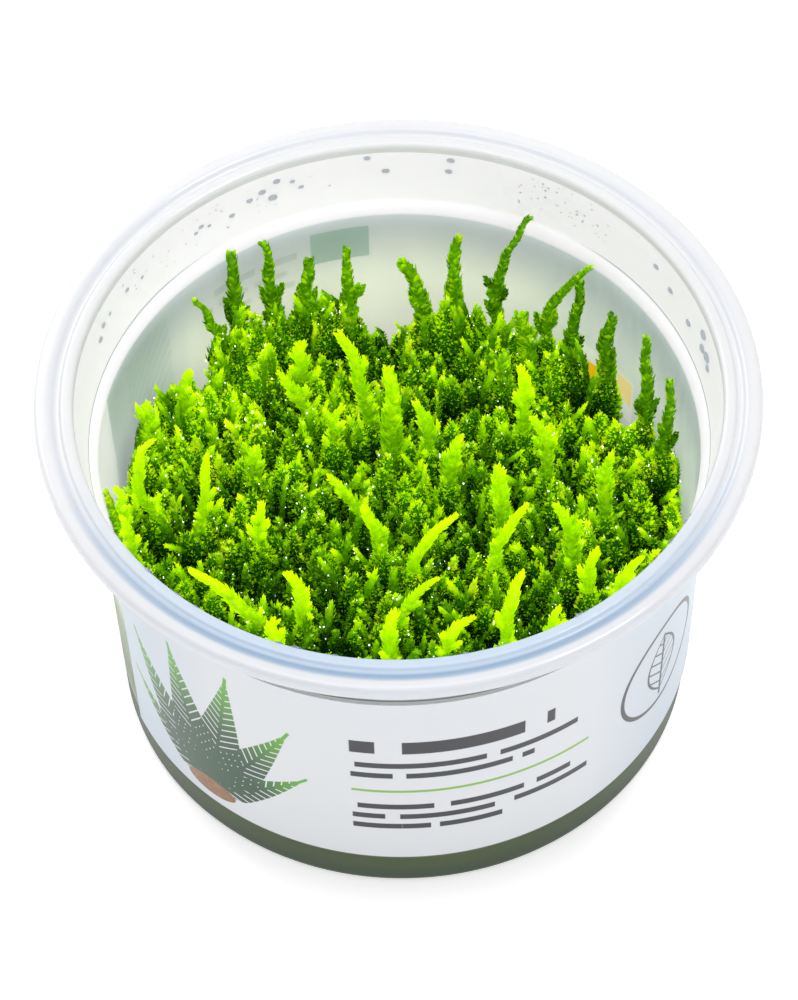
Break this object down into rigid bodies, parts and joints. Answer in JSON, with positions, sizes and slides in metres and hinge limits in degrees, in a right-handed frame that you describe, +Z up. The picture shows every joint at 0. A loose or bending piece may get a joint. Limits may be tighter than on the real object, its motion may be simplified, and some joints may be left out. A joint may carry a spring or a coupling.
{
  "type": "moss clump",
  "caption": "Clump of bright green aquatic moss growing on clear gel in a low, round, frosted plastic tub with a broad brim and a printed wrap label.",
  "frame": {"origin": "Centre of the tub's flat base, on the surface that it stands on.", "axes": "+Z up through the open top, -Y the front with the printed panel, +X to the right of someone facing the front."},
  "size_m": [0.1, 0.1, 0.0612],
  "materials": {
    "tub_plastic": "frosted white, translucent, moulded",
    "label_film": null,
    "nutrient_gel": "wet, clear, green from the moss above",
    "moss_mat": "dense wet moss",
    "moss_back_shoots": "dark green wet moss",
    "moss_middle_shoots": "green wet moss",
    "moss_front_shoots": "yellow-green wet moss"
  },
  "bodies": {
    "root": {"moss_mat": "moss_mat", "nutrient_gel": "nutrient_gel", "shoot_back_01": "moss_back_shoots", "shoot_back_02": "moss_back_shoots", "shoot_back_03": "moss_back_shoots", "shoot_back_04": "moss_back_shoots", "shoot_back_05": "moss_back_shoots", "shoot_back_06": "moss_back_shoots", "shoot_back_07": "moss_back_shoots", "shoot_back_08": "moss_back_shoots", "shoot_back_09": "moss_back_shoots", "shoot_back_10": "moss_back_shoots", "shoot_back_11": "moss_back_shoots", "shoot_back_12": "moss_back_shoots", "shoot_back_13": "moss_back_shoots", "shoot_back_14": "moss_back_shoots", "shoot_back_15": "moss_back_shoots", "shoot_front_01": "moss_front_shoots", "shoot_front_02": "moss_front_shoots", "shoot_front_03": "moss_front_shoots", "shoot_front_04": "moss_front_shoots", "shoot_front_05": "moss_front_shoots", "shoot_front_06": "moss_front_shoots", "shoot_front_07": "moss_front_shoots", "shoot_front_08": "moss_front_shoots", "shoot_front_09": "moss_front_shoots", "shoot_front_10": "moss_front_shoots", "shoot_front_11": "moss_front_shoots", "shoot_front_12": "moss_front_shoots", "shoot_front_13": "moss_front_shoots", "shoot_front_14": "moss_front_shoots", "shoot_front_15": "moss_front_shoots", "shoot_front_16": "moss_front_shoots", "shoot_front_17": "moss_front_shoots", "shoot_front_18": "moss_front_shoots", "shoot_front_19": "moss_front_shoots", "shoot_front_20": "moss_front_shoots", "shoot_front_21": "moss_front_shoots", "shoot_middle_01": "moss_middle_shoots", "shoot_middle_02": "moss_middle_shoots", "shoot_middle_03": "moss_middle_shoots", "shoot_middle_04": "moss_middle_shoots", "shoot_middle_05": "moss_middle_shoots", "shoot_middle_06": "moss_middle_shoots", "shoot_middle_07": "moss_middle_shoots", "shoot_middle_08": "moss_middle_shoots", "shoot_middle_09": "moss_middle_shoots", "shoot_middle_10": "moss_middle_shoots", "shoot_middle_11": "moss_middle_shoots", "shoot_middle_12": "moss_middle_shoots", "shoot_middle_13": "moss_middle_shoots", "shoot_middle_14": "moss_middle_shoots", "shoot_middle_15": "moss_middle_shoots", "shoot_middle_16": "moss_middle_shoots", "shoot_middle_17": "moss_middle_shoots", "tub": "tub_plastic", "wrap_label": "label_film"}
  },
  "joints": []
}
